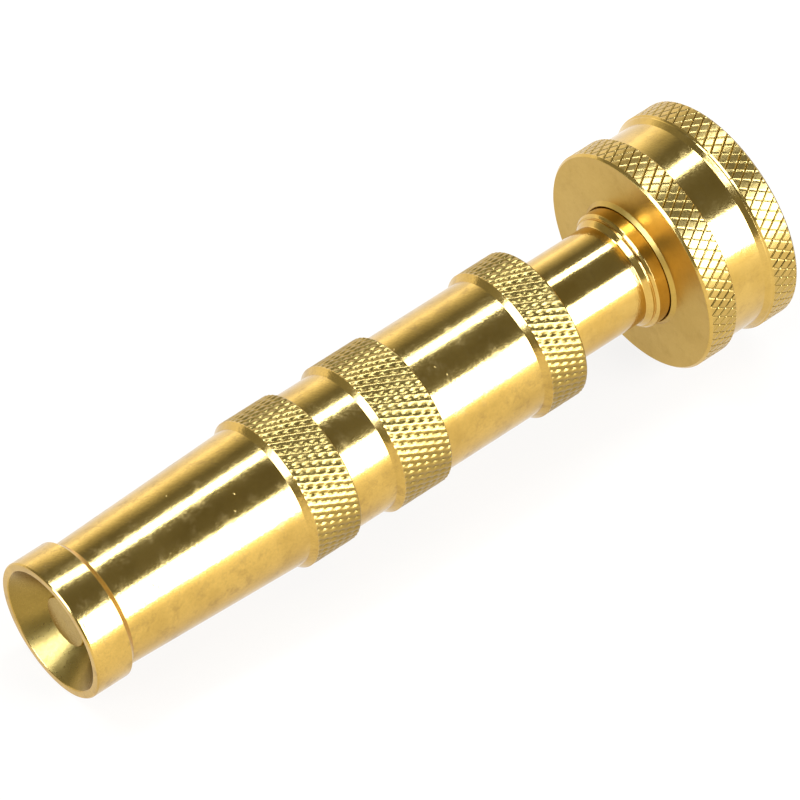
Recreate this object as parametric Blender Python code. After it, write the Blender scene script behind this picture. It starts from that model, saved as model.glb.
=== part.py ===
"""Adjustable twist hose nozzle in brass, shut, lying on its side.

The spray axis is the X axis: the mouth is at +X, the hose coupling at -X and +Z is up. The origin
is on that axis, halfway along. Every piece is turned, so it is drawn as an outline of
(station, radius) points: the station is the distance back from the front of the mouth, and the
radius is from the axis. Lengths are in metres.

The hollow stem is the fixed piece. The barrel screws along it, and the coupling swivels on its tail.
"""

import math

import bmesh
import bpy

MM = 0.001
LENGTH = 106.0 * MM
FACETS = 32
RING_SECTION_POINTS = 8
WELD = 1e-7

# Clearance kept between pieces that touch on the real nozzle.
GAP = 0.3 * MM
EDGE = 0.3 * MM

# Barrel, outside.
BARREL_LENGTH = 75.9 * MM
RIM_RADIUS = 9.4 * MM
RIM_LENGTH = 5.2 * MM
LIP_RADIUS = 8.4 * MM
TAPER_RADIUS = 8.5 * MM
GRIP_RADIUS = 9.5 * MM
KNURL_RADIUS = 10.25 * MM
KNURL_SHOULDER = 0.7 * MM
FRONT_BAND = (32.4 * MM, 39.9 * MM)
MIDDLE_BAND = (46.0 * MM, 54.2 * MM)
REAR_BAND = (69.5 * MM, BARREL_LENGTH)

# Barrel, inside.
THROAT_RADIUS = 3.9 * MM
THROAT_START = 5.9 * MM
THROAT_END = 8.1 * MM
SEAT_END = 10.6 * MM
CHAMBER_RADIUS = 6.1 * MM
RELIEF_START = 44.0 * MM
NUT_THREAD = (46.0 * MM, 56.0 * MM)
SLEEVE_RADIUS = 7.35 * MM
WIPER_GROOVE = (72.4 * MM, 74.2 * MM)
WIPER_GROOVE_RADIUS = 8.7 * MM

# Spray plug, which closes the throat and the front of the stem.
PLUG_FACE = 2.25 * MM
PLUG_RADIUS = 3.5 * MM
PLUG_NECK_END = 8.3 * MM
PLUG_LIP_RADIUS = 4.3 * MM
PLUG_GROOVE = (9.35 * MM, 11.25 * MM)
PLUG_GROOVE_RADIUS = 3.6 * MM
PLUG_HEAD_RADIUS = 4.9 * MM
PLUG_HEAD_END = 12.3 * MM
PLUG_SHANK_END = 17.3 * MM

# Stem.
STEM_FRONT = PLUG_HEAD_END + GAP
TUBE_RADIUS = 4.9 * MM
FRONT_BORE_RADIUS = 3.4 * MM
FRONT_BORE_END = 36.0 * MM
BORE_RADIUS = 4.2 * MM
PORT_STATION = 20.5 * MM
PORT_RADIUS = 1.5 * MM
LAND = (29.3 * MM, 37.5 * MM)
LAND_RADIUS = 5.75 * MM
SEAL_GROOVE = (32.0 * MM, 33.9 * MM)
SEAL_GROOVE_RADIUS = 4.25 * MM
WAIST_RADIUS = 5.2 * MM
SCREW_THREAD = (45.0 * MM, 55.0 * MM)
NECK_START = 57.5 * MM
NECK_RADIUS = 6.95 * MM
NECK_END = 88.65 * MM
BEAD_RADIUS = 7.55 * MM
BEAD_END = 89.45 * MM
COLLAR_RADIUS = 8.1 * MM
COLLAR_END = 91.7 * MM
JOURNAL_RADIUS = 7.0 * MM
STEM_END = 94.0 * MM
SOCKET_START = 86.7 * MM
SOCKET_RADIUS = 5.6 * MM

# Swivel eyelet, pressed into the stem's tail.
EYELET_BORE_RADIUS = 4.3 * MM
FLANGE_RADIUS = 12.2 * MM
FLANGE = (STEM_END + GAP, 95.7 * MM)

# Swivel coupling with the internal garden hose thread.
COUPLING_FRONT = 91.6 * MM
RECESS_RADIUS = 8.6 * MM
RECESS_FLOOR = COLLAR_END + GAP
WEB_BACK = STEM_END
WEB_HOLE_RADIUS = 7.35 * MM
COUPLING_RADIUS = 15.3 * MM
GROOVE_RADIUS = 14.5 * MM
GROOVE = (95.9 * MM, 101.9 * MM)
WASHER_POCKET_RADIUS = 12.95 * MM
HOSE_THREAD = (98.9 * MM, 105.3 * MM)
HOSE_PITCH = 25.4 * MM / 11.5
HOSE_MAJOR_RADIUS = 13.7 * MM
HOSE_MINOR_RADIUS = 12.3 * MM

# Hose washer.
WASHER = (FLANGE[1] + GAP, 98.4 * MM)
WASHER_RADII = (8.0 * MM, 12.6 * MM)

# Travelling thread between stem and barrel, right-handed.
TRAVEL_PITCH = 2.0 * MM
SCREW_RADII = (6.05 * MM, NECK_RADIUS)
NUT_RADII = (SLEEVE_RADIUS, 6.4 * MM)
THREAD_TIP = 0.3 * MM
THREAD_FLANK = math.tan(math.radians(30))

# O-rings: (station, radius of the ring's centre line, radius of its section).
SHUTOFF_RING = (10.3 * MM, 4.6 * MM, 0.65 * MM)
SEAL_RING = (32.95 * MM, 5.2 * MM, 0.65 * MM)
WIPER_RING = (73.3 * MM, 7.8 * MM, 0.6 * MM)


def clear_scene():
    for leftover in list(bpy.data.objects):
        bpy.data.objects.remove(leftover, do_unlink=True)


def finish(name, colour, roughness, metallic):
    material = bpy.data.materials.new(name)
    material.use_nodes = True
    shader = material.node_tree.nodes["Principled BSDF"]
    shader.inputs["Base Color"].default_value = (*colour, 1.0)
    shader.inputs["Roughness"].default_value = roughness
    shader.inputs["Metallic"].default_value = metallic
    material.diffuse_color = (*colour, 1.0)
    return material


def pivot(name, station, parent=None):
    """An empty on the spray axis, which carries the pieces of one moving body."""
    empty = bpy.data.objects.new(name, None)
    empty.empty_display_size = 5.0 * MM
    bpy.context.scene.collection.objects.link(empty)
    empty.parent = parent
    empty.location.x = LENGTH / 2 - station - (parent.location.x if parent else 0.0)
    return empty


def ridge(span, radii, pitch, datum, turn):
    """Outline of a right-hand screw thread at one fraction of a turn.

    radii are those of the thread's base and tip, and datum is a station of a tip at turn 0.
    A point that would pass an end of the span stays on that end, at the base radius.
    """
    start, end = span
    base, tip = radii
    half_tip = THREAD_TIP / 2
    half_base = half_tip + abs(tip - base) * THREAD_FLANK
    first = math.ceil((start - half_base - datum) / pitch)
    last = math.floor((end + half_base - datum) / pitch) + 1
    corners = ((-half_base, base), (-half_tip, tip), (half_tip, tip), (half_base, base))
    points = []
    for number in range(first, last + 1):
        centre = datum + (number - turn) * pitch
        for offset, radius in corners:
            station = min(max(centre + offset, start), end)
            cut = station in (start, end)
            points.append((station, base if cut else radius))
    return points


def turned(name, outline, origin, material, parent):
    """A closed solid of revolution whose outline may change with the angle, as a thread's does.

    outline(turn) gives the closed loop of (station, radius) points at that fraction of a turn,
    and origin is the station of the object's own origin, on the axis.
    """
    shape = bmesh.new()
    columns = []
    for step in range(FACETS + 1):
        turn = step / FACETS
        angle = math.tau * (step + 0.5) / FACETS
        across, up = math.cos(angle), math.sin(angle)
        loop = [(origin - station, radius * across, radius * up) for station, radius in outline(turn)]
        columns.append([shape.verts.new(point) for point in loop])
    for near, far in zip(columns, columns[1:]):
        for here in range(len(near)):
            before = here - 1
            shape.faces.new((near[before], near[here], far[here], far[before]))
    bmesh.ops.remove_doubles(shape, verts=shape.verts, dist=WELD)
    loose = [edge for edge in shape.edges if not edge.link_faces]
    bmesh.ops.delete(shape, geom=loose, context="EDGES")
    bmesh.ops.recalc_face_normals(shape, faces=shape.faces)
    mesh = bpy.data.meshes.new(name)
    shape.to_mesh(mesh)
    shape.free()
    mesh.shade_smooth()
    mesh.set_sharp_from_angle(angle=math.radians(30))
    mesh.materials.append(material)
    piece = bpy.data.objects.new(name, mesh)
    bpy.context.scene.collection.objects.link(piece)
    piece.parent = parent
    piece.location.x = LENGTH / 2 - origin - parent.matrix_world.translation.x
    return piece


def o_ring(name, ring, material, parent):
    station, middle, section = ring
    points = []
    for step in range(RING_SECTION_POINTS):
        angle = math.tau * (step + 0.5) / RING_SECTION_POINTS
        points.append((station + section * math.cos(angle), middle + section * math.sin(angle)))
    return turned(name, lambda turn: points, station, material, parent)


def knurled_band(band):
    """Outline of a raised grip band, from its bevelled front shoulder to its rear edge."""
    start, end = band
    return [
        (start, GRIP_RADIUS),
        (start + KNURL_SHOULDER, KNURL_RADIUS),
        (end - EDGE / 2, KNURL_RADIUS),
        (end, KNURL_RADIUS - EDGE / 2),
    ]


def barrel_outline(turn):
    """The mouth cone, the tapered and banded outside, and the stepped bore with its nut thread."""
    outside = [
        (0.0, LIP_RADIUS),
        (0.0, RIM_RADIUS - EDGE / 2),
        (EDGE / 2, RIM_RADIUS),
        (RIM_LENGTH, RIM_RADIUS),
        (RIM_LENGTH + RIM_RADIUS - TAPER_RADIUS, TAPER_RADIUS),
        *knurled_band(FRONT_BAND),
        (FRONT_BAND[1], GRIP_RADIUS),
        *knurled_band(MIDDLE_BAND),
        (MIDDLE_BAND[1], GRIP_RADIUS),
        *knurled_band(REAR_BAND),
    ]
    rear_bore = [
        (BARREL_LENGTH, SLEEVE_RADIUS + EDGE),
        (BARREL_LENGTH - EDGE, SLEEVE_RADIUS),
        (WIPER_GROOVE[1], SLEEVE_RADIUS),
        (WIPER_GROOVE[1], WIPER_GROOVE_RADIUS),
        (WIPER_GROOVE[0], WIPER_GROOVE_RADIUS),
        (WIPER_GROOVE[0], SLEEVE_RADIUS),
    ]
    datum = SCREW_THREAD[0] + TRAVEL_PITCH / 2
    thread = ridge(NUT_THREAD, NUT_RADII, TRAVEL_PITCH, datum, turn)
    front_bore = [
        (RELIEF_START, SLEEVE_RADIUS),
        (RELIEF_START, CHAMBER_RADIUS),
        (SEAT_END, CHAMBER_RADIUS),
        (THROAT_END, THROAT_RADIUS),
        (THROAT_START, THROAT_RADIUS),
    ]
    return outside + rear_bore + thread[::-1] + front_bore


def stem_outline(turn):
    """The ported tube, the seal land, the screw, the neck, the collar and the swivel journal."""
    front = [
        (STEM_FRONT, FRONT_BORE_RADIUS),
        (STEM_FRONT, TUBE_RADIUS - EDGE),
        (STEM_FRONT + EDGE, TUBE_RADIUS),
        (LAND[0] - (LAND_RADIUS - TUBE_RADIUS), TUBE_RADIUS),
        (LAND[0], LAND_RADIUS),
        (SEAL_GROOVE[0], LAND_RADIUS),
        (SEAL_GROOVE[0], SEAL_GROOVE_RADIUS),
        (SEAL_GROOVE[1], SEAL_GROOVE_RADIUS),
        (SEAL_GROOVE[1], LAND_RADIUS),
        (LAND[1], LAND_RADIUS),
        (LAND[1] + LAND_RADIUS - WAIST_RADIUS, WAIST_RADIUS),
        (SCREW_THREAD[0], WAIST_RADIUS),
    ]
    thread = ridge(SCREW_THREAD, SCREW_RADII, TRAVEL_PITCH, SCREW_THREAD[0], turn)
    rear = [
        (NECK_START - (NECK_RADIUS - SCREW_RADII[0]), SCREW_RADII[0]),
        (NECK_START, NECK_RADIUS),
        (NECK_END, NECK_RADIUS),
        (NECK_END, BEAD_RADIUS - EDGE / 2),
        (NECK_END + EDGE / 2, BEAD_RADIUS),
        (BEAD_END, BEAD_RADIUS),
        (BEAD_END, COLLAR_RADIUS - EDGE / 2),
        (BEAD_END + EDGE / 2, COLLAR_RADIUS),
        (COLLAR_END, COLLAR_RADIUS),
        (COLLAR_END, JOURNAL_RADIUS),
        (STEM_END, JOURNAL_RADIUS),
        (STEM_END, SOCKET_RADIUS),
        (SOCKET_START, SOCKET_RADIUS),
        (SOCKET_START, BORE_RADIUS),
        (FRONT_BORE_END, BORE_RADIUS),
        (FRONT_BORE_END, FRONT_BORE_RADIUS),
    ]
    return front + thread + rear


def port_cutter(name, turn, parent):
    """A rod right across the stem, which drills two opposite water ports."""
    mesh = bpy.data.meshes.new(name)
    rod = bmesh.new()
    bmesh.ops.create_cone(
        rod,
        cap_ends=True,
        segments=FACETS // 2,
        radius1=PORT_RADIUS,
        radius2=PORT_RADIUS,
        depth=TUBE_RADIUS * 3,
    )
    rod.to_mesh(mesh)
    rod.free()
    cutter = bpy.data.objects.new(name, mesh)
    bpy.context.scene.collection.objects.link(cutter)
    cutter.parent = parent
    cutter.location.x = LENGTH / 2 - PORT_STATION - parent.matrix_world.translation.x
    cutter.rotation_euler.x = math.tau * turn
    cutter.hide_render = True
    cutter.display_type = "WIRE"
    return cutter


def drill_ports(stem, parent):
    for number in range(2):
        cutter = port_cutter(f"port_cutter_{number}", number / 4, parent)
        cut = stem.modifiers.new(f"ports_{number}", "BOOLEAN")
        cut.operation = "DIFFERENCE"
        cut.solver = "EXACT"
        cut.object = cutter


def plug_outline(turn):
    """A solid nose with a shoulder, a groove for the shut-off ring, a head and a shank."""
    return [
        (PLUG_FACE, 0.0),
        (PLUG_FACE, PLUG_RADIUS - EDGE / 2),
        (PLUG_FACE + EDGE / 2, PLUG_RADIUS),
        (PLUG_NECK_END, PLUG_RADIUS),
        (PLUG_NECK_END + PLUG_LIP_RADIUS - PLUG_RADIUS, PLUG_LIP_RADIUS),
        (PLUG_GROOVE[0], PLUG_LIP_RADIUS),
        (PLUG_GROOVE[0], PLUG_GROOVE_RADIUS),
        (PLUG_GROOVE[1], PLUG_GROOVE_RADIUS),
        (PLUG_GROOVE[1], PLUG_HEAD_RADIUS),
        (PLUG_HEAD_END, PLUG_HEAD_RADIUS),
        (PLUG_HEAD_END, FRONT_BORE_RADIUS - GAP),
        (PLUG_SHANK_END - EDGE, FRONT_BORE_RADIUS - GAP),
        (PLUG_SHANK_END, FRONT_BORE_RADIUS - GAP - EDGE),
        (PLUG_SHANK_END, 0.0),
    ]


def eyelet_outline(turn):
    """A sleeve inside the stem's tail, with the wide flange that holds the coupling on."""
    return [
        (FLANGE[1], EYELET_BORE_RADIUS),
        (FLANGE[1], FLANGE_RADIUS),
        (FLANGE[0], FLANGE_RADIUS),
        (FLANGE[0], SOCKET_RADIUS - GAP),
        (SOCKET_START + GAP, SOCKET_RADIUS - GAP),
        (SOCKET_START + GAP, EYELET_BORE_RADIUS),
    ]


def coupling_outline(turn):
    """The web that turns on the journal, two raised grip bands and the hose thread inside."""
    outside = [
        (COUPLING_FRONT, RECESS_RADIUS),
        (COUPLING_FRONT, COUPLING_RADIUS - EDGE),
        (COUPLING_FRONT + EDGE, COUPLING_RADIUS),
        (GROOVE[0], COUPLING_RADIUS),
        (GROOVE[0] + EDGE / 2, GROOVE_RADIUS),
        (GROOVE[1] - EDGE, GROOVE_RADIUS),
        (GROOVE[1], COUPLING_RADIUS),
        (LENGTH - EDGE, COUPLING_RADIUS),
        (LENGTH, COUPLING_RADIUS - EDGE),
        (LENGTH, HOSE_MAJOR_RADIUS + EDGE),
        (LENGTH - EDGE, HOSE_MAJOR_RADIUS),
    ]
    radii = (HOSE_MAJOR_RADIUS, HOSE_MINOR_RADIUS)
    thread = ridge(HOSE_THREAD, radii, HOSE_PITCH, HOSE_THREAD[0], turn)
    inside = [
        (HOSE_THREAD[0] - EDGE, WASHER_POCKET_RADIUS),
        (WEB_BACK, WASHER_POCKET_RADIUS),
        (WEB_BACK, WEB_HOLE_RADIUS),
        (RECESS_FLOOR, WEB_HOLE_RADIUS),
        (RECESS_FLOOR, RECESS_RADIUS - EDGE / 2),
    ]
    return outside + thread[::-1] + inside


def washer_outline(turn):
    bore, rim = WASHER_RADII
    front, back = WASHER
    return [
        (front, bore),
        (front, rim - EDGE),
        (front + EDGE, rim),
        (back - EDGE, rim),
        (back, rim - EDGE),
        (back, bore),
    ]


def build():
    clear_scene()
    barrel_brass = finish("barrel_brass", (0.72, 0.50, 0.17), 0.26, 1.0)
    stem_brass = finish("stem_brass", (0.75, 0.53, 0.19), 0.22, 1.0)
    plug_brass = finish("plug_brass", (0.66, 0.52, 0.24), 0.32, 1.0)
    eyelet_brass = finish("eyelet_brass", (0.70, 0.50, 0.20), 0.28, 1.0)
    coupling_brass = finish("coupling_brass", (0.74, 0.51, 0.18), 0.28, 1.0)
    ring_rubber = finish("ring_rubber", (0.02, 0.02, 0.02), 0.55, 0.0)
    washer_rubber = finish("washer_rubber", (0.03, 0.03, 0.03), 0.70, 0.0)

    nozzle = pivot("nozzle", LENGTH / 2)
    barrel_axis = pivot("barrel_axis", NUT_THREAD[0], nozzle)
    coupling_axis = pivot("coupling_axis", WEB_BACK, nozzle)
    bpy.context.view_layer.update()

    stem = turned("stem", stem_outline, SCREW_THREAD[0], stem_brass, nozzle)
    drill_ports(stem, nozzle)
    turned("spray_plug", plug_outline, PLUG_HEAD_END, plug_brass, nozzle)
    o_ring("shutoff_o_ring", SHUTOFF_RING, ring_rubber, nozzle)
    o_ring("stem_o_ring", SEAL_RING, ring_rubber, nozzle)
    turned("swivel_eyelet", eyelet_outline, STEM_END, eyelet_brass, nozzle)
    turned("barrel", barrel_outline, NUT_THREAD[0], barrel_brass, barrel_axis)
    o_ring("neck_wiper_ring", WIPER_RING, ring_rubber, barrel_axis)
    turned("coupling_nut", coupling_outline, WEB_BACK, coupling_brass, coupling_axis)
    turned("hose_washer", washer_outline, WASHER[0], washer_rubber, coupling_axis)


build()
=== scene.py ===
"""Adjustable twist hose nozzle in brass, shut, lying on a white table under studio lights.

Each piece is turned round the spray axis, which is the X axis, from an outline of (station,
radius) points. The station is the distance back from the front of the mouth. Lengths are in
metres. The grip bands carry real knurls and the threads are real threads.
"""

import math
from collections import namedtuple

import bmesh
import bpy
import numpy as np
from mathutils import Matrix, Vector


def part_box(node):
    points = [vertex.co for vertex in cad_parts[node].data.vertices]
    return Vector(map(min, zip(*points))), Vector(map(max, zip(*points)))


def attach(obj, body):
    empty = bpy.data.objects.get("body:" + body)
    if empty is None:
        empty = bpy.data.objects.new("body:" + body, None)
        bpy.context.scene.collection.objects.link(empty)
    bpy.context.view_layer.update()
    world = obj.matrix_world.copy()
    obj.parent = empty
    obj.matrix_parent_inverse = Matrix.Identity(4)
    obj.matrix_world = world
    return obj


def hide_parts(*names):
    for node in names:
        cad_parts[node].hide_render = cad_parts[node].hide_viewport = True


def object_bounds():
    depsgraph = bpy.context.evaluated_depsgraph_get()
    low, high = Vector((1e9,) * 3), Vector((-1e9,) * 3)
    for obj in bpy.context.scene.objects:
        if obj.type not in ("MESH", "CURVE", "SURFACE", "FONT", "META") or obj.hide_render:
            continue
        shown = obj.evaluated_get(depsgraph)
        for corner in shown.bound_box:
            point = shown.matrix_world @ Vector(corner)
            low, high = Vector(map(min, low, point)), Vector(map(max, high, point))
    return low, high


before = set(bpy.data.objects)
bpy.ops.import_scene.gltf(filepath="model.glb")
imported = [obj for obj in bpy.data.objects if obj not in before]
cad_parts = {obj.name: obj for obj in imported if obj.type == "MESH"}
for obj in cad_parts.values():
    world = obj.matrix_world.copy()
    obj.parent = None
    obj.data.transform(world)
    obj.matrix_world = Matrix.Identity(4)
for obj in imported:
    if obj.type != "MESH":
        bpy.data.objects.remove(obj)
cad_low, cad_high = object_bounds()

MM = 0.001
TAU = math.tau
MOUTH_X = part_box("barrel")[1].x
LENGTH = cad_high.x - cad_low.x

# Meshes: how near points are welded, where an edge is sharp, and how finely pieces are divided.
WELD = 1e-7
SHARP_ANGLE = math.radians(35)
FILLET_STEPS = 4
FILLET_REACH = 0.45
PLAIN_COLUMNS = 160
STEM_COLUMNS = 192
RING_COLUMNS = 128
RING_ROWS = 24
PORT_SEGMENTS = 40

# Turned edges that several pieces share.
CHAMFER = 0.3 * MM
EDGE_ROUND = 0.1 * MM
GROOVE_ROUND = 0.2 * MM

# Barrel, outside. A bevel is its length along the axis and its height, or one number for both.
BARREL_LENGTH = 75.9 * MM
RIM_RADIUS = 9.4 * MM
RIM_LENGTH = 5.2 * MM
RIM_BEVEL = (0.2 * MM, 0.16 * MM)
LIP_RADIUS = 8.4 * MM
LIP_BEVEL = 0.1 * MM
TAPER_RADIUS = 8.5 * MM
GRIP_RADIUS = 9.5 * MM
BANDS = ((32.4 * MM, 39.9 * MM), (46.0 * MM, 54.2 * MM), (69.5 * MM, BARREL_LENGTH))
BAND_SHOULDER = 0.72 * MM
BAND_EDGE = 0.18 * MM
BAND_FOOT = 0.04 * MM
BAND_LEAD = (0.2 * MM, 0.03 * MM)

# Barrel, inside.
THROAT_RADIUS = 3.9 * MM
THROAT = (5.9 * MM, 8.1 * MM)
SEAT_END = 10.6 * MM
CHAMBER_RADIUS = 6.1 * MM
RELIEF_START = 44.0 * MM
NUT_THREAD = (46.0 * MM, 56.0 * MM)
SLEEVE_RADIUS = 7.35 * MM
WIPER_GROOVE = (72.4 * MM, 74.2 * MM)
WIPER_GROOVE_RADIUS = 8.7 * MM

# Spray plug. The dimple is the tool's mark at the middle of its face: its depth and radius.
PLUG_FACE = 2.25 * MM
PLUG_DIMPLE = (0.02 * MM, 0.3 * MM)
PLUG_RADIUS = 3.5 * MM
PLUG_BEVEL = (0.15 * MM, 0.14 * MM)
PLUG_NECK_END = 8.3 * MM
PLUG_LIP_RADIUS = 4.3 * MM
PLUG_GROOVE = (9.35 * MM, 11.25 * MM)
PLUG_GROOVE_RADIUS = 3.6 * MM
PLUG_HEAD_RADIUS = 4.9 * MM
PLUG_HEAD_END = 12.3 * MM
PLUG_SHANK_END = 17.3 * MM
PLUG_SHANK_RADIUS = 3.1 * MM

# Stem.
STEM_FRONT = 12.6 * MM
TUBE_RADIUS = 4.9 * MM
FRONT_BORE_RADIUS = 3.4 * MM
FRONT_BORE_END = 36.0 * MM
BORE_RADIUS = 4.2 * MM
PORT_STATION = 20.5 * MM
PORT_RADIUS = 1.5 * MM
LAND = (29.3 * MM, 37.5 * MM)
LAND_RADIUS = 5.75 * MM
SEAL_GROOVE = (32.0 * MM, 33.9 * MM)
SEAL_GROOVE_RADIUS = 4.25 * MM
WAIST_RADIUS = 5.2 * MM
SCREW_THREAD = (45.0 * MM, 55.0 * MM)
NECK_START = 57.5 * MM
NECK_RADIUS = 6.95 * MM
NECK_END = 88.65 * MM
BEAD_RAMP = (0.4 * MM, 0.2 * MM)
BEAD_RADIUS = 7.55 * MM
BEAD_END = 89.45 * MM
COLLAR_RADIUS = 8.1 * MM
COLLAR_END = 91.7 * MM
JOURNAL_RADIUS = 7.0 * MM
STEM_END = 94.0 * MM
SOCKET_START = 86.7 * MM
SOCKET_RADIUS = 5.6 * MM

# Swivel eyelet.
EYELET_BORE_RADIUS = 4.3 * MM
EYELET_FRONT = 87.0 * MM
EYELET_SLEEVE_RADIUS = 5.3 * MM
FLANGE_RADIUS = 12.2 * MM
FLANGE = (94.3 * MM, 95.7 * MM)

# Swivel coupling. Its edges are the lengths of the bevels on either side of its groove, and the
# groove's lip is a ramp up to the rear band: its start and end before the band, and its drop.
COUPLING_FRONT = 91.6 * MM
RECESS_RADIUS = 8.6 * MM
RECESS_FLOOR = 92.0 * MM
WEB_HOLE_RADIUS = 7.35 * MM
COUPLING_RADIUS = 15.3 * MM
GROOVE_RADIUS = 14.5 * MM
GROOVE = (95.9 * MM, 101.9 * MM)
WASHER_POCKET_RADIUS = 12.95 * MM
HOSE_THREAD = (98.9 * MM, 105.3 * MM)
HOSE_PITCH = 25.4 * MM / 11.5
HOSE_RADII = (13.7 * MM, 12.3 * MM)
COUPLING_EDGES = (0.16 * MM, 0.18 * MM)
GROOVE_LIP = (0.75 * MM, 0.15 * MM, 0.24 * MM)
RING_RADII = (8.22 * MM, 8.78 * MM)
RING_HEIGHT = 0.48 * MM

# Hose washer.
WASHER = (96.0 * MM, 98.4 * MM)
WASHER_RADII = (8.0 * MM, 12.6 * MM)

# Travelling thread between stem and barrel.
TRAVEL_PITCH = 2.0 * MM
SCREW_RADII = (6.05 * MM, NECK_RADIUS)
NUT_RADII = (SLEEVE_RADIUS, 6.4 * MM)
THREAD_TIP = 0.3 * MM
THREAD_FLANK = math.tan(math.radians(30))

# O-rings: (station, radius of the ring's centre line, radius of its section).
SHUTOFF_RING = (10.3 * MM, 4.6 * MM, 0.65 * MM)
SEAL_RING = (32.95 * MM, 5.2 * MM, 0.65 * MM)
WIPER_RING = (73.3 * MM, 7.8 * MM, 0.6 * MM)

# Two families of grooves cross in a knurl. Count is the number of grooves round it, and steps the
# number of columns in a pitch. A lean is the grooves' angle from the axis, and a share is a
# groove's width in pitches. With no cross depth, the cross grooves only deepen the main ones, by
# the bridge's share, so that the ridges between the main ones run unbroken. The last field is how
# much painted shade, with dullness, the tops of the ridges get, where the bottoms of the grooves
# get 1: the bands are darkened with painted shade, most of all in the grooves.
Knurl = namedtuple("Knurl", [
    "radius", "count", "steps",
    "main_lean", "cross_lean",
    "main_depth", "cross_depth",
    "main_share", "cross_share",
    "bridge", "grime",
])
GRIP_KNURL = Knurl(
    radius=10.25 * MM, count=63, steps=10,
    main_lean=26.5, cross_lean=-19.5,
    main_depth=0.18 * MM, cross_depth=0.0,
    main_share=0.90, cross_share=0.95,
    bridge=0.65, grime=0.55,
)
COUPLING_KNURL = Knurl(
    radius=15.3 * MM, count=67, steps=14,
    main_lean=-34.0, cross_lean=34.0,
    main_depth=0.19 * MM, cross_depth=0.10 * MM,
    main_share=3 / 14, cross_share=1 / 7,
    bridge=0.0, grime=0.30,
)
SHOULDER_ROWS = 6
EDGE_ROWS = 3
RUN_IN = 0.35
UNWIND_ROWS = 14

# Brass: frequencies in cycles per metre, depths in metres and linear colours. Face rings is how
# much the radius counts beside X, so that a face carries rings as well as a turned side.
RING_FREQUENCY = (5200.0, 50.0, 50.0)
CHATTER_FREQUENCY = (3800.0, 1900.0, 1900.0)
GRAIN_FREQUENCY = 3200.0
PIT_FREQUENCY = 620.0
BLOT_FREQUENCY = 480.0
PATCH_FREQUENCY = 150.0
RING_DEPTH = 5e-6
CHATTER_DEPTH = 12e-6
GRAIN_DEPTH = 3e-6
PIT_DEPTH = 6e-5
FACE_RINGS = 1.7
# Painted shade laid into knurl grooves and the mouth's cone where the recess attribute is high.
RECESS_SHADE_TONE = (0.20, 0.134, 0.024)
BLOT_TONE = (0.36, 0.22, 0.06)
PIT_TONE = (0.14, 0.10, 0.04)
SATIN_SHADE_TONE = (0.46, 0.29, 0.045)
SATIN_EDGE = 0.1 * MM

# Rubber.
BLOOM_FREQUENCY = 260.0
PEBBLE_FREQUENCY = 2600.0
PEBBLE_DEPTH = 2e-5

# Long lights: name, zone of angles above the +Y side, reach of X, radiance and tint.
LIGHT_DISTANCE = 0.55
WHITE = (1.0, 1.0, 1.0)
FLASH = (0.80, 1.0, 1.7)
LONG_LIGHTS = (
    ("softbox", (10.0, 48.8), (-0.55, -0.10), 13.0, FLASH),
    ("strip", (106.2, 117.0), (-0.55, 0.12), 13.0, FLASH),
    ("front strip", (106.2, 117.0), (0.12, 0.30), 28.0, FLASH),
    ("overhead card", (72.0, 98.0), (0.12, 0.40), 2.8, WHITE),
    ("side card", (0.0, 45.0), (0.12, 0.40), 1.3, WHITE),
)

# The card ahead of the mouth.
FRONT_AZIMUTH = math.radians(-5.0)
FRONT_ELEVATION = math.radians(30.0)
FRONT_DISTANCE = 0.6
FRONT_SIZE = (0.30, 0.27)
FRONT_RADIANCE = 9.0

# Room round the table. The zones are sines of height, and the cosine of the angle from +X.
LOW_WALL = (1.8, 1.8, 1.7)
HIGH_WALL = (0.62, 0.63, 0.57)
WALL_AHEAD = (0.30, 0.31, 0.28)
CEILING = (0.185, 0.19, 0.17)
WALL_ZONE = (0.10, 0.39)
CEILING_ZONE = (0.39, 0.60)
AHEAD_ZONE = (0.1, 0.5)

# Table: its half width, and its glow, as (distance from the axis, strength). The glow is weakest
# under the nozzle, a painted shadow, and the last strength is painted light that the far table
# adds.
TABLE_REACH = 4.0
TABLE_TONE = (0.10, 0.08, 0.047, 1.0)
PAINTED_SHADOW_GLOW = (0.010, 0.86)
GLOW_SIDE = (0.045, 1.02)
PAINTED_FAR_GLOW = (0.30, 0.22)

# Camera, at the photograph's angle: azimuth from the -Y side, and elevation above the XY plane.
VIEW_AZIMUTH = math.radians(140.55)
VIEW_ELEVATION = math.radians(50.5)
VIEW_DISTANCE = 0.8675
VIEW_AIM = Vector((-0.0021, -0.0010, 0.0002))
LENS = 317.6
SENSOR = 36.0
CLIP_END = 20.0


def rounded(corners):
    """Points of an outline, with an arc at each corner that gives a third number, its radius."""
    points = []
    for number, (station, radius, *fillet) in enumerate(corners):
        corner = Vector((station, radius))
        if not fillet:
            points.append(corner)
            continue
        before = Vector(corners[number - 1][:2]) - corner
        after = Vector(corners[(number + 1) % len(corners)][:2]) - corner
        half_turn = (math.pi - before.angle(after)) / 2
        room = min(before.length, after.length) * FILLET_REACH
        reach = min(fillet[0] * math.tan(half_turn), room)
        start = corner + before.normalized() * reach
        end = corner + after.normalized() * reach
        for step in range(FILLET_STEPS + 1):
            share = step / FILLET_STEPS
            points.append(start.lerp(corner, share).lerp(corner.lerp(end, share), share))
    return points


def groove(phase, share):
    """Depth, from 0 to 1, of a row of V grooves that lie on the whole numbers of phase."""
    away = np.abs(phase - np.round(phase))
    return np.clip(1.0 - 2.0 * away / share, 0.0, 1.0)


def even_turns(columns):
    """Places round the axis in whole turns, the last of them on the first."""
    return np.linspace(0.0, 1.0, columns + 1)


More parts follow.
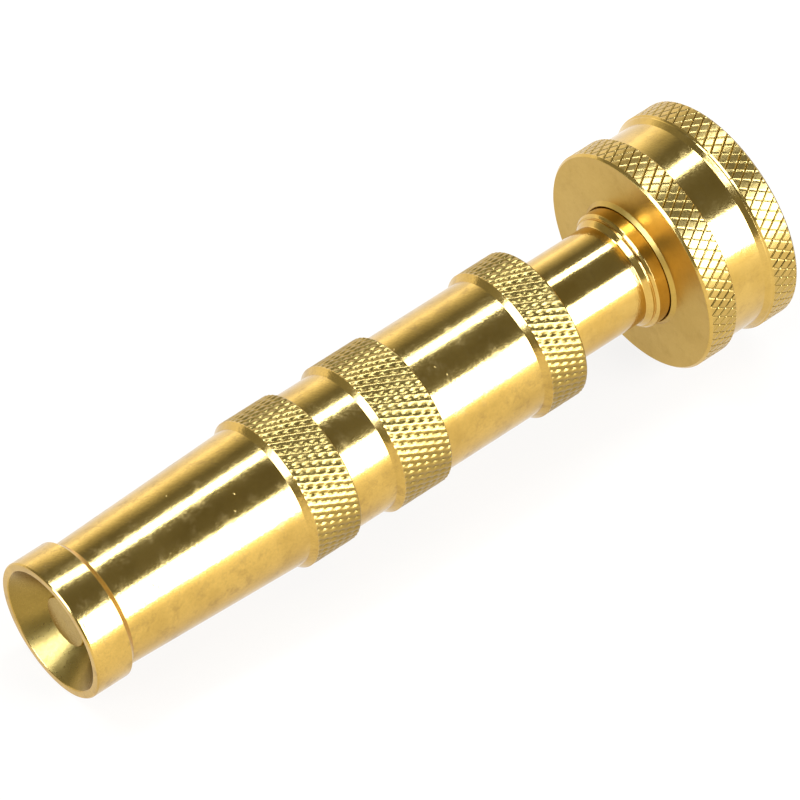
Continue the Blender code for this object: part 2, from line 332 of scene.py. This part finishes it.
class Skin:
    """Rows of points round the axis, laid one after the other and joined up by build()."""

    def __init__(self, turns):
        self.turns = turns
        self.twist = 0.0
        self.rows = []

    def add(self, station, radius, recess=0.0):
        wide = np.ones_like(self.turns)
        self.rows.append((station * wide, radius * wide, self.turns + self.twist, recess * wide))

    def corners(self, corners, recess=0.0):
        for station, radius in rounded(corners):
            self.add(station, radius, recess)

    def knurl(self, band, radii, knurl, shoulders):
        """A knurled band between two plain radii. Its columns follow the main grooves, so the
        twist grows along it, and its rows are spaced so that its points follow the cross ones."""
        start, end = band
        stops = [start, start + shoulders[0], end - shoulders[1], end]
        heights = [radii[0], knurl.radius, knurl.radius, radii[1]]
        run_in = [stops[1], stops[1] + shoulders[0] * RUN_IN]
        main, cross = (
            math.tan(math.radians(lean)) / (TAU * knurl.radius)
            for lean in (knurl.main_lean, knurl.cross_lean)
        )
        row = 1 / (knurl.count * knurl.steps * abs(cross - main))
        stations = [
            *np.linspace(*stops[:2], SHOULDER_ROWS)[:-1],
            *np.arange(stops[1], stops[2], row),
            *np.linspace(*stops[2:], EDGE_ROWS),
        ]
        first_twist = self.twist
        along = groove(knurl.count * self.turns, knurl.main_share)
        for station in stations:
            self.twist = first_twist - main * (station - start)
            turn = self.turns + (cross - main) * (station - stops[1])
            across = groove(knurl.count * turn, knurl.cross_share)
            filled = 1.0 - knurl.bridge * (1.0 - across)
            cut = np.maximum(knurl.main_depth * along * filled, knurl.cross_depth * across)
            fade = np.interp(station, run_in, (0.0, 1.0))
            cut = cut * fade
            surface = np.minimum(np.interp(station, stops, heights), knurl.radius - cut)
            # The recess value is painted shade and dullness: highest in the grooves, and still high
            # on the ridge tops.
            deep = np.clip((knurl.radius - surface) / knurl.main_depth, 0.0, 1.0)
            self.add(station, surface, fade * (knurl.grime + (1.0 - knurl.grime) * deep))

    def thread(self, span, radii, pitch, datum, backwards=False):
        """A right-hand screw thread between two stations, with a tip at the datum at turn 0."""
        start, end = span
        base, tip = radii
        half_tip = THREAD_TIP / 2
        half_base = half_tip + abs(tip - base) * THREAD_FLANK
        first = math.ceil((start - half_base - datum) / pitch)
        last = math.floor((end + half_base - datum) / pitch) + 2
        corners = ((-half_base, base), (-half_tip, tip), (half_tip, tip), (half_base, base))
        turn = self.turns + self.twist
        rows = []
        for number in range(first, last + 1):
            for offset, radius in corners:
                station = np.clip(datum + (number - turn) * pitch + offset, start, end)
                at_end = (station == start) | (station == end)
                rows.append((station, np.where(at_end, base, radius)))
        for station, radius in rows[::-1] if backwards else rows:
            self.add(station, radius)

    def unwind(self, start, end, radius):
        """A plain tube along which the twist gathered by the knurls is let out again."""
        twist = self.twist
        for step in range(1, UNWIND_ROWS + 1):
            share = step / UNWIND_ROWS
            self.twist = twist * (1 - share)
            self.add(start + (end - start) * share, radius)

    def build(self, name, closed=True, flip=False):
        """Joins the rows into a mesh. Flip turns the diagonal along which each face can fold."""
        station, radius, turn, recess = (np.array(part) for part in zip(*self.rows))
        rows, columns = station.shape
        angle = TAU * turn
        places = [MOUTH_X - station, radius * np.cos(angle), radius * np.sin(angle)]
        points = np.stack(places, axis=-1).reshape(-1, 3)
        index = np.arange(rows * columns).reshape(rows, columns)
        ahead = np.roll(index, -1, axis=0)
        if not closed:
            index, ahead = index[:-1], ahead[:-1]
        quads = np.stack([index[:, :-1], ahead[:, :-1], ahead[:, 1:], index[:, 1:]], axis=-1)
        if flip:
            quads = np.roll(quads, -1, axis=-1)
        mesh = bpy.data.meshes.new(name)
        mesh.from_pydata(points.tolist(), [], quads.reshape(-1, 4).tolist())
        depth = mesh.attributes.new("recess", "FLOAT", "POINT")
        depth.data.foreach_set("value", recess.ravel().astype(np.float32))
        shape = bmesh.new()
        shape.from_mesh(mesh)
        bmesh.ops.remove_doubles(shape, verts=shape.verts, dist=WELD)
        loose = [edge for edge in shape.edges if not edge.link_faces]
        bmesh.ops.delete(shape, geom=loose, context="EDGES")
        bmesh.ops.recalc_face_normals(shape, faces=shape.faces)
        shape.to_mesh(mesh)
        shape.free()
        mesh.shade_smooth()
        mesh.set_sharp_from_angle(angle=SHARP_ANGLE)
        piece = bpy.data.objects.new(name, mesh)
        crisp = piece.modifiers.new("crisp", "WEIGHTED_NORMAL")
        crisp.keep_sharp = True
        bpy.context.scene.collection.objects.link(piece)
        return piece


def settle(piece, material, body, node):
    """Gives a piece its finish and puts it on its body in place of the plain CAD node."""
    piece.data.materials.append(material)
    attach(piece, body)
    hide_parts(node)
    return piece


def make_barrel():
    """Outside from the mouth back to the last grip band, and inside forward again to the mouth."""
    skin = Skin(even_turns(GRIP_KNURL.count * GRIP_KNURL.steps))
    cone_end = LIP_RADIUS - LIP_BEVEL
    skin.corners([
        (LIP_BEVEL, cone_end),
        (0.0, LIP_RADIUS, 0.08 * MM),
        (0.0, RIM_RADIUS - RIM_BEVEL[1], 0.05 * MM),
        (RIM_BEVEL[0], RIM_RADIUS, 0.08 * MM),
        (RIM_LENGTH, RIM_RADIUS, 0.06 * MM),
        (RIM_LENGTH + RIM_RADIUS - TAPER_RADIUS, TAPER_RADIUS, 0.05 * MM),
        (BANDS[0][0] - BAND_LEAD[0], GRIP_RADIUS),
    ])
    for number, band in enumerate(BANDS):
        if number:
            last_end = BANDS[number - 1][1]
            skin.corners([
                (last_end, GRIP_RADIUS + BAND_FOOT),
                (last_end + BAND_FOOT, GRIP_RADIUS),
                (band[0] - BAND_LEAD[0], GRIP_RADIUS),
                (band[0] - BAND_LEAD[1], GRIP_RADIUS),
            ])
        edges = (GRIP_RADIUS, GRIP_KNURL.radius - BAND_EDGE)
        skin.knurl(band, edges, GRIP_KNURL, (BAND_SHOULDER, BAND_EDGE))
    skin.corners([
        (BARREL_LENGTH, SLEEVE_RADIUS + CHAMFER),
        (BARREL_LENGTH - CHAMFER, SLEEVE_RADIUS),
        (WIPER_GROOVE[1], SLEEVE_RADIUS),
        (WIPER_GROOVE[1], WIPER_GROOVE_RADIUS, GROOVE_ROUND),
        (WIPER_GROOVE[0], WIPER_GROOVE_RADIUS, GROOVE_ROUND),
        (WIPER_GROOVE[0], SLEEVE_RADIUS),
    ])
    datum = SCREW_THREAD[0] + TRAVEL_PITCH / 2
    skin.thread(NUT_THREAD, NUT_RADII, TRAVEL_PITCH, datum, backwards=True)
    skin.corners([
        (RELIEF_START, SLEEVE_RADIUS),
        (RELIEF_START, CHAMBER_RADIUS),
    ])
    skin.unwind(RELIEF_START, SEAT_END, CHAMBER_RADIUS)
    # The mouth's cone is darkened with painted shade, and roughened, through its recess value.
    skin.corners([
        (THROAT[1], THROAT_RADIUS),
        (THROAT[0], THROAT_RADIUS, 0.12 * MM),
        (0.12 * MM, cone_end - 0.02 * MM),
    ], recess=0.7)
    return skin.build("barrel_turned")


def make_stem():
    """Tube, seal land, travelling screw, neck, bead and collar, then the bore back to the front."""
    skin = Skin(even_turns(STEM_COLUMNS))
    skin.corners([
        (STEM_FRONT, FRONT_BORE_RADIUS),
        (STEM_FRONT, TUBE_RADIUS - CHAMFER),
        (STEM_FRONT + CHAMFER, TUBE_RADIUS),
        (LAND[0] - (LAND_RADIUS - TUBE_RADIUS), TUBE_RADIUS),
        (LAND[0], LAND_RADIUS, EDGE_ROUND),
        (SEAL_GROOVE[0], LAND_RADIUS, 0.08 * MM),
        (SEAL_GROOVE[0], SEAL_GROOVE_RADIUS, GROOVE_ROUND),
        (SEAL_GROOVE[1], SEAL_GROOVE_RADIUS, GROOVE_ROUND),
        (SEAL_GROOVE[1], LAND_RADIUS, 0.08 * MM),
        (LAND[1], LAND_RADIUS, EDGE_ROUND),
        (LAND[1] + LAND_RADIUS - WAIST_RADIUS, WAIST_RADIUS),
        (SCREW_THREAD[0], WAIST_RADIUS),
    ])
    skin.thread(SCREW_THREAD, SCREW_RADII, TRAVEL_PITCH, SCREW_THREAD[0])
    skin.corners([
        (NECK_START - (NECK_RADIUS - SCREW_RADII[0]), SCREW_RADII[0]),
        (NECK_START, NECK_RADIUS, EDGE_ROUND),
        (NECK_END - BEAD_RAMP[0], NECK_RADIUS, 0.25 * MM),
        (NECK_END + BEAD_RAMP[1], BEAD_RADIUS, 0.06 * MM),
        (BEAD_END - CHAMFER, BEAD_RADIUS, 0.05 * MM),
        (BEAD_END - CHAMFER, COLLAR_RADIUS - CHAMFER, 0.04 * MM),
        (BEAD_END, COLLAR_RADIUS, 0.12 * MM),
        (COLLAR_END, COLLAR_RADIUS, 0.05 * MM),
        (COLLAR_END, JOURNAL_RADIUS),
        (STEM_END, JOURNAL_RADIUS),
        (STEM_END, SOCKET_RADIUS),
        (SOCKET_START, SOCKET_RADIUS),
        (SOCKET_START, BORE_RADIUS),
        (FRONT_BORE_END, BORE_RADIUS),
        (FRONT_BORE_END, FRONT_BORE_RADIUS),
    ])
    stem = skin.build("stem_turned")
    drill_ports(stem)
    return stem


def drill_ports(stem):
    """Two rods across the stem drill its four water ports, and are then thrown away."""
    for number in range(2):
        rod = bmesh.new()
        bmesh.ops.create_cone(
            rod, cap_ends=True, segments=PORT_SEGMENTS,
            radius1=PORT_RADIUS, radius2=PORT_RADIUS, depth=TUBE_RADIUS * 3,
        )
        mesh = bpy.data.meshes.new("port_rod")
        rod.to_mesh(mesh)
        rod.free()
        cutter = bpy.data.objects.new("port_rod", mesh)
        bpy.context.scene.collection.objects.link(cutter)
        cutter.location.x = MOUTH_X - PORT_STATION
        cutter.rotation_euler.x = TAU * number / 4
        cut = stem.modifiers.new("port", "BOOLEAN")
        cut.operation = "DIFFERENCE"
        cut.solver = "EXACT"
        cut.object = cutter
        bpy.context.view_layer.update()
        solved = stem.evaluated_get(bpy.context.evaluated_depsgraph_get())
        drilled = bpy.data.meshes.new_from_object(solved)
        stem.modifiers.clear()
        stem.data = drilled
        bpy.data.objects.remove(cutter)


def make_plug():
    """The disc seen in the mouth, the grooved head behind it and the shank in the stem."""
    skin = Skin(even_turns(PLAIN_COLUMNS))
    skin.corners([
        (PLUG_FACE + PLUG_DIMPLE[0], 0.0),
        (PLUG_FACE, PLUG_DIMPLE[1]),
        (PLUG_FACE, PLUG_RADIUS - PLUG_BEVEL[1], 0.04 * MM),
        (PLUG_FACE + PLUG_BEVEL[0], PLUG_RADIUS, 0.06 * MM),
        (PLUG_NECK_END, PLUG_RADIUS),
        (PLUG_NECK_END + PLUG_LIP_RADIUS - PLUG_RADIUS, PLUG_LIP_RADIUS),
        (PLUG_GROOVE[0], PLUG_LIP_RADIUS, EDGE_ROUND),
        (PLUG_GROOVE[0], PLUG_GROOVE_RADIUS, GROOVE_ROUND),
        (PLUG_GROOVE[1], PLUG_GROOVE_RADIUS, GROOVE_ROUND),
        (PLUG_GROOVE[1], PLUG_HEAD_RADIUS, EDGE_ROUND),
        (PLUG_HEAD_END, PLUG_HEAD_RADIUS, EDGE_ROUND),
        (PLUG_HEAD_END, PLUG_SHANK_RADIUS),
        (PLUG_SHANK_END - CHAMFER, PLUG_SHANK_RADIUS),
        (PLUG_SHANK_END, PLUG_SHANK_RADIUS - CHAMFER),
        (PLUG_SHANK_END, 0.0),
    ])
    return skin.build("plug_turned", closed=False)


def make_eyelet():
    """A sleeve pressed into the stem's tail, with the flange that holds the coupling on."""
    skin = Skin(even_turns(PLAIN_COLUMNS))
    skin.corners([
        (FLANGE[1], EYELET_BORE_RADIUS, 0.25 * MM),
        (FLANGE[1], FLANGE_RADIUS, GROOVE_ROUND),
        (FLANGE[0], FLANGE_RADIUS, GROOVE_ROUND),
        (FLANGE[0], EYELET_SLEEVE_RADIUS),
        (EYELET_FRONT, EYELET_SLEEVE_RADIUS, EDGE_ROUND),
        (EYELET_FRONT, EYELET_BORE_RADIUS, EDGE_ROUND),
    ])
    return skin.build("eyelet_turned")


def make_coupling():
    """The swivel nut. A low bevelled ring stands round the hole that the stem's collar fills."""
    skin = Skin(even_turns(COUPLING_KNURL.count * COUPLING_KNURL.steps))
    edge_radius = COUPLING_RADIUS - CHAMFER
    ring_front = COUPLING_FRONT - RING_HEIGHT
    front_edge, back_edge = COUPLING_EDGES
    skin.corners([
        (RECESS_FLOOR, RECESS_RADIUS),
        (COUPLING_FRONT + 0.2 * MM, RING_RADII[0]),
        (ring_front + 0.05 * MM, RING_RADII[0], 0.04 * MM),
        (ring_front, RING_RADII[0] + 0.08 * MM, 0.04 * MM),
        (COUPLING_FRONT, RING_RADII[1], 0.06 * MM),
        (COUPLING_FRONT, edge_radius - 0.1 * MM),
        (COUPLING_FRONT, edge_radius - 0.02 * MM),
    ])
    radii = (edge_radius, COUPLING_RADIUS - front_edge)
    band = (COUPLING_FRONT + 0.02 * MM, GROOVE[0])
    skin.knurl(band, radii, COUPLING_KNURL, (CHAMFER, front_edge))
    skin.corners([
        (GROOVE[0] + 0.02 * MM, radii[1] - 0.02 * MM),
        (GROOVE[0] + 0.02 * MM, GROOVE_RADIUS + GROOVE_ROUND),
        (GROOVE[0] + GROOVE_ROUND, GROOVE_RADIUS, EDGE_ROUND),
        (GROOVE[1] - GROOVE_LIP[0], GROOVE_RADIUS, EDGE_ROUND),
        (GROOVE[1] - GROOVE_LIP[1], COUPLING_RADIUS - GROOVE_LIP[2], 0.06 * MM),
        (GROOVE[1] - 0.03 * MM, COUPLING_RADIUS - 0.22 * MM),
    ])
    radii = (COUPLING_RADIUS - 0.2 * MM, edge_radius)
    skin.knurl((GROOVE[1], LENGTH), radii, COUPLING_KNURL, (back_edge, CHAMFER))
    skin.corners([
        (LENGTH, edge_radius - 0.02 * MM),
        (LENGTH, HOSE_RADII[0] + CHAMFER, 0.05 * MM),
        (LENGTH - CHAMFER, HOSE_RADII[0]),
    ])
    skin.thread(HOSE_THREAD, HOSE_RADII, HOSE_PITCH, HOSE_THREAD[0], backwards=True)
    skin.corners([
        (HOSE_THREAD[0] - CHAMFER, WASHER_POCKET_RADIUS),
        (STEM_END, WASHER_POCKET_RADIUS, CHAMFER),
        (STEM_END, WEB_HOLE_RADIUS),
    ])
    skin.unwind(STEM_END, RECESS_FLOOR, WEB_HOLE_RADIUS)
    return skin.build("coupling_turned", flip=True)


def make_washer():
    """The flat rubber washer that the hose is screwed up against."""
    skin = Skin(even_turns(PLAIN_COLUMNS))
    bore, rim = WASHER_RADII
    front, back = WASHER
    skin.corners([
        (front, bore, 0.3 * MM),
        (front, rim, 0.35 * MM),
        (back, rim, 0.35 * MM),
        (back, bore, 0.3 * MM),
    ])
    return skin.build("washer_moulded")


def make_o_ring(name, ring):
    """A rubber ring of round section."""
    station, middle, section = ring
    skin = Skin(even_turns(RING_COLUMNS))
    for angle in np.linspace(0.0, TAU, RING_ROWS, endpoint=False):
        skin.add(station + section * math.cos(angle), middle + section * math.sin(angle))
    return skin.build(name)


class Graph:
    """Shorthand for laying out a node tree. A value is a number, a colour or another socket."""

    def __init__(self, tree):
        self.tree = tree

    def add(self, kind, inputs=None, **settings):
        node = self.tree.nodes.new(kind)
        for name, value in settings.items():
            setattr(node, name, value)
        for key, value in (inputs or {}).items():
            if isinstance(value, bpy.types.NodeSocket):
                self.tree.links.new(value, node.inputs[key])
            else:
                node.inputs[key].default_value = value
        return node

    def math(self, operation, *values):
        return self.add("ShaderNodeMath", dict(enumerate(values)), operation=operation).outputs[0]

    def point(self, x, y, z):
        return self.add("ShaderNodeCombineXYZ", {"X": x, "Y": y, "Z": z}).outputs[0]

    def stretch(self, vector, scale):
        node = self.add("ShaderNodeVectorMath", {0: vector, 1: scale}, operation="MULTIPLY")
        return node.outputs[0]

    def noise(self, vector, scale, detail, roughness=0.55):
        inputs = {"Vector": vector, "Scale": scale, "Detail": detail, "Roughness": roughness}
        return self.add("ShaderNodeTexNoise", inputs).outputs["Fac"]

    def remap(self, value, low, high, to_low=0.0, to_high=1.0):
        inputs = {"Value": value, 1: low, 2: high, 3: to_low, 4: to_high}
        return self.add("ShaderNodeMapRange", inputs).outputs[0]

    def bump(self, height, distance, below=None, invert=False):
        inputs = {"Height": height, "Distance": distance}
        if below is not None:
            inputs["Normal"] = below
        return self.add("ShaderNodeBump", inputs, invert=invert).outputs[0]

    def mix(self, share, first, second):
        node = self.add("ShaderNodeMix", {"Factor": share}, data_type="RGBA")
        for socket, value in ((node.inputs[6], first), (node.inputs[7], second)):
            if isinstance(value, bpy.types.NodeSocket):
                self.tree.links.new(value, socket)
            else:
                socket.default_value = (*value, 1.0)
        return node.outputs[2]

    def link(self, value, socket):
        self.tree.links.new(value, socket)


def new_material(name):
    material = bpy.data.materials.new(name)
    material.use_nodes = True
    return material, Graph(material.node_tree), material.node_tree.nodes["Principled BSDF"]


def brass(name, bright, deep, roughness, tool_marks=1.0, mottle=1.0, satin_shaded_front=None):
    """Turned brass: rings left by the tool, chatter across them, pits, blots, and painted shade,
    darker and rougher, where the recess attribute says so.

    A satin front is the X beyond which the piece is faced off rougher than its turned sides, and
    darkened with painted shade."""
    material, graph, shader = new_material(name)
    place = graph.add("ShaderNodeTexCoord").outputs["Object"]
    axes = graph.add("ShaderNodeSeparateXYZ", {0: place})
    along, level, up = (axes.outputs[axis] for axis in "XYZ")
    across = graph.point(0.0, level, up)
    radius = graph.add("ShaderNodeVectorMath", {0: across}, operation="LENGTH").outputs["Value"]
    turned = graph.point(graph.math("MULTIPLY_ADD", radius, FACE_RINGS, along), level, up)
    rings = graph.noise(graph.stretch(turned, RING_FREQUENCY), 1.0, 3.0, 0.65)
    chatter = graph.noise(graph.stretch(turned, CHATTER_FREQUENCY), 1.0, 2.0)
    grain = graph.noise(place, GRAIN_FREQUENCY, 2.0, 0.6)
    patches = graph.noise(place, PATCH_FREQUENCY, 5.0, 0.65)
    blots = graph.remap(graph.noise(place, BLOT_FREQUENCY, 4.0, 0.7), 0.52, 0.68)
    recess = graph.add("ShaderNodeAttribute", attribute_name="recess").outputs["Fac"]

    cells = graph.add("ShaderNodeTexVoronoi", {"Vector": place, "Scale": PIT_FREQUENCY})
    lone = graph.remap(cells.outputs["Color"], 0.80, 0.82)
    middle = graph.remap(cells.outputs["Distance"], 0.04, 0.09, 1.0, 0.0)
    pits = graph.math("MULTIPLY", lone, middle)

    tone = graph.mix(graph.remap(patches, 0.38, 0.64), bright, deep)
    speckle = graph.math("MULTIPLY", graph.remap(grain, 0.45, 0.75), 0.24 * mottle)
    tone = graph.mix(speckle, tone, tuple(0.72 * part for part in deep))
    tone = graph.mix(graph.math("MULTIPLY", blots, 0.50 * mottle), tone, BLOT_TONE)
    # Painted shade: the colour darkens where the recess attribute is high, in the knurls and the
    # mouth.
    tone = graph.mix(graph.math("MULTIPLY", recess, 0.90), tone, RECESS_SHADE_TONE)
    tone = graph.mix(graph.math("MULTIPLY", pits, 0.45), tone, PIT_TONE)

    rough = graph.remap(grain, 0.3, 0.75, roughness * 0.85, roughness * 1.25)
    rough = graph.math("MULTIPLY_ADD", graph.remap(recess, 0.0, 0.3), 0.14, rough)
    rough = graph.math("MULTIPLY_ADD", blots, 0.10 * mottle, rough)
    rough = graph.math("MULTIPLY_ADD", pits, 0.2, rough)

    if satin_shaded_front is not None:
        front = graph.remap(along, satin_shaded_front - SATIN_EDGE, satin_shaded_front)
        # Painted shade: the faced front is darkened as well as roughened.
        tone = graph.mix(graph.math("MULTIPLY", front, 0.55), tone, SATIN_SHADE_TONE)
        rough = graph.math("MULTIPLY_ADD", front, 0.22, rough)

    normal = graph.bump(rings, RING_DEPTH * tool_marks)
    normal = graph.bump(chatter, CHATTER_DEPTH * tool_marks, below=normal)
    normal = graph.bump(grain, GRAIN_DEPTH, below=normal)
    normal = graph.bump(pits, PIT_DEPTH, below=normal, invert=True)
    graph.link(tone, shader.inputs["Base Color"])
    graph.link(rough, shader.inputs["Roughness"])
    graph.link(normal, shader.inputs["Normal"])
    shader.inputs["Metallic"].default_value = 1.0
    return material


def rubber(name, tone, roughness):
    """Moulded black rubber with a faint bloom and a matt, slightly pebbled skin."""
    material, graph, shader = new_material(name)
    place = graph.add("ShaderNodeTexCoord").outputs["Object"]
    bloom = graph.noise(place, BLOOM_FREQUENCY, 4.0)
    pebble = graph.noise(place, PEBBLE_FREQUENCY, 2.0)
    dusty = tuple(part * 1.9 + 0.012 for part in tone)
    colour = graph.mix(graph.remap(bloom, 0.42, 0.72), tone, dusty)
    rough = graph.remap(pebble, 0.3, 0.7, roughness - 0.08, roughness + 0.08)
    graph.link(colour, shader.inputs["Base Color"])
    graph.link(rough, shader.inputs["Roughness"])
    graph.link(graph.bump(pebble, PEBBLE_DEPTH), shader.inputs["Normal"])
    return material


def make_pieces():
    barrel_brass = brass(
        "turned barrel brass", (0.67, 0.43, 0.105), (0.54, 0.34, 0.078), roughness=0.145,
    )
    stem_brass = brass(
        "turned stem brass", (0.68, 0.44, 0.115), (0.60, 0.37, 0.08), roughness=0.11,
        tool_marks=0.5, mottle=0.5,
    )
    plug_brass = brass(
        "faced plug brass", (0.47, 0.31, 0.055), (0.41, 0.265, 0.04), roughness=0.22,
        tool_marks=0.6, mottle=0.3,
    )
    eyelet_brass = brass(
        "turned eyelet brass", (0.64, 0.43, 0.12), (0.56, 0.36, 0.09), roughness=0.20,
    )
    coupling_brass = brass(
        "turned coupling brass", (0.66, 0.43, 0.11), (0.57, 0.36, 0.08), roughness=0.125,
        tool_marks=0.6, mottle=0.6, satin_shaded_front=MOUTH_X - COUPLING_FRONT,
    )
    ring_rubber = rubber("nitrile rubber", (0.014, 0.014, 0.015), roughness=0.42)
    washer_rubber = rubber("washer rubber", (0.022, 0.022, 0.022), roughness=0.62)

    settle(make_barrel(), barrel_brass, "barrel", "barrel")
    settle(make_stem(), stem_brass, "stem", "stem")
    settle(make_plug(), plug_brass, "stem", "spray_plug")
    settle(make_eyelet(), eyelet_brass, "stem", "swivel_eyelet")
    settle(make_coupling(), coupling_brass, "coupling", "coupling_nut")
    settle(make_washer(), washer_rubber, "coupling", "hose_washer")
    rings = (
        ("shutoff_ring", SHUTOFF_RING, "stem", "shutoff_o_ring"),
        ("stem_ring", SEAL_RING, "stem", "stem_o_ring"),
        ("wiper_ring", WIPER_RING, "wiper", "neck_wiper_ring"),
    )
    for name, ring, body, node in rings:
        settle(make_o_ring(name, ring), ring_rubber, body, node)


def make_floor():
    """A white table that touches the coupling and the rim of the mouth. Its glow is dimmed under
    the nozzle, a painted shadow, and raised far off, painted light.
    """
    rise = (COUPLING_RADIUS - RIM_RADIUS) / (COUPLING_FRONT + CHAMFER)
    middle = -RIM_RADIUS - MOUTH_X * rise
    low, high = middle - TABLE_REACH * rise, middle + TABLE_REACH * rise
    corners = [
        (-TABLE_REACH, -TABLE_REACH, low),
        (TABLE_REACH, -TABLE_REACH, high),
        (TABLE_REACH, TABLE_REACH, high),
        (-TABLE_REACH, TABLE_REACH, low),
    ]
    mesh = bpy.data.meshes.new("table")
    mesh.from_pydata(corners, [], [(0, 1, 2, 3)])
    table = bpy.data.objects.new("table", mesh)
    bpy.context.scene.collection.objects.link(table)

    material, graph, shader = new_material("white table")
    place = graph.add("ShaderNodeTexCoord").outputs["Object"]
    side = graph.math("ABSOLUTE", graph.add("ShaderNodeSeparateXYZ", {0: place}).outputs["Y"])
    # Painted shadow: the glow dims near the axis, under the nozzle; far off it grows as painted
    # light.
    near = graph.remap(side, PAINTED_SHADOW_GLOW[0], GLOW_SIDE[0], PAINTED_SHADOW_GLOW[1], GLOW_SIDE[1])
    far = graph.remap(side, GLOW_SIDE[0], PAINTED_FAR_GLOW[0], 0.0, PAINTED_FAR_GLOW[1])
    graph.link(graph.math("ADD", near, far), shader.inputs["Emission Strength"])
    shader.inputs["Base Color"].default_value = TABLE_TONE
    shader.inputs["Roughness"].default_value = 0.8
    shader.inputs["Specular IOR Level"].default_value = 0.0
    shader.inputs["Emission Color"].default_value = (*WHITE, 1.0)
    mesh.materials.append(material)


def make_light(name, direction, distance, size, radiance, tint):
    """A rectangular card, unseen by the camera, that faces the middle of the nozzle."""
    data = bpy.data.lights.new(name, "AREA")
    data.shape = "RECTANGLE"
    data.size, data.size_y = size
    data.energy = radiance * math.pi * size[0] * size[1]
    data.color = tint
    card = bpy.data.objects.new(name, data)
    bpy.context.scene.collection.objects.link(card)
    card.location = Vector(direction).normalized() * distance
    card.rotation_mode = "QUATERNION"
    card.rotation_quaternion = Vector(direction).to_track_quat("Z", "Y")
    card.visible_camera = False
    return card


def long_light(name, zone, reach, radiance, tint):
    """A card beside the axis that fills a zone of angles above the +Y side, over a reach of X."""
    first, last = (math.radians(edge) for edge in zone)
    middle = (first + last) / 2
    size = (reach[1] - reach[0], 2 * LIGHT_DISTANCE * math.tan((last - first) / 2))
    across = (0, math.cos(middle), math.sin(middle))
    card = make_light(name, across, LIGHT_DISTANCE, size, radiance, tint)
    card.rotation_mode = "XYZ"
    card.rotation_euler = (middle - math.pi / 2, 0, 0)
    card.location.x = sum(reach) / 2


def make_lights():
    for light in LONG_LIGHTS:
        long_light(*light)
    ahead = (
        math.cos(FRONT_AZIMUTH) * math.cos(FRONT_ELEVATION),
        math.sin(FRONT_AZIMUTH) * math.cos(FRONT_ELEVATION),
        math.sin(FRONT_ELEVATION),
    )
    make_light("front card", ahead, FRONT_DISTANCE, FRONT_SIZE, FRONT_RADIANCE, FLASH)


def make_world():
    """A room that is bright low down, with a dim ceiling and a dim wall ahead of the mouth."""
    world = bpy.data.worlds.new("studio")
    bpy.context.scene.world = world
    world.use_nodes = True
    graph = Graph(world.node_tree)
    aim = graph.add("ShaderNodeTexCoord").outputs["Generated"]
    axes = graph.add("ShaderNodeSeparateXYZ", {0: aim})
    height = axes.outputs["Z"]
    wall = graph.mix(graph.remap(height, *WALL_ZONE), LOW_WALL, HIGH_WALL)
    wall = graph.mix(graph.remap(axes.outputs["X"], *AHEAD_ZONE), wall, WALL_AHEAD)
    tone = graph.mix(graph.remap(height, *CEILING_ZONE), wall, CEILING)
    graph.link(tone, world.node_tree.nodes["Background"].inputs["Color"])


def make_camera():
    data = bpy.data.cameras.new("camera")
    data.lens = LENS
    data.sensor_width = SENSOR
    data.clip_end = CLIP_END
    camera = bpy.data.objects.new("camera", data)
    bpy.context.scene.collection.objects.link(camera)
    level = math.cos(VIEW_ELEVATION)
    back = Vector((
        math.sin(VIEW_AZIMUTH) * level,
        -math.cos(VIEW_AZIMUTH) * level,
        math.sin(VIEW_ELEVATION),
    ))
    camera.location = VIEW_AIM + back * VIEW_DISTANCE
    camera.rotation_mode = "QUATERNION"
    camera.rotation_quaternion = (-back).to_track_quat("-Z", "Y")
    bpy.context.scene.camera = camera


make_pieces()
make_floor()
make_lights()
make_world()
make_camera()
bpy.context.scene.view_settings.view_transform = "Standard"
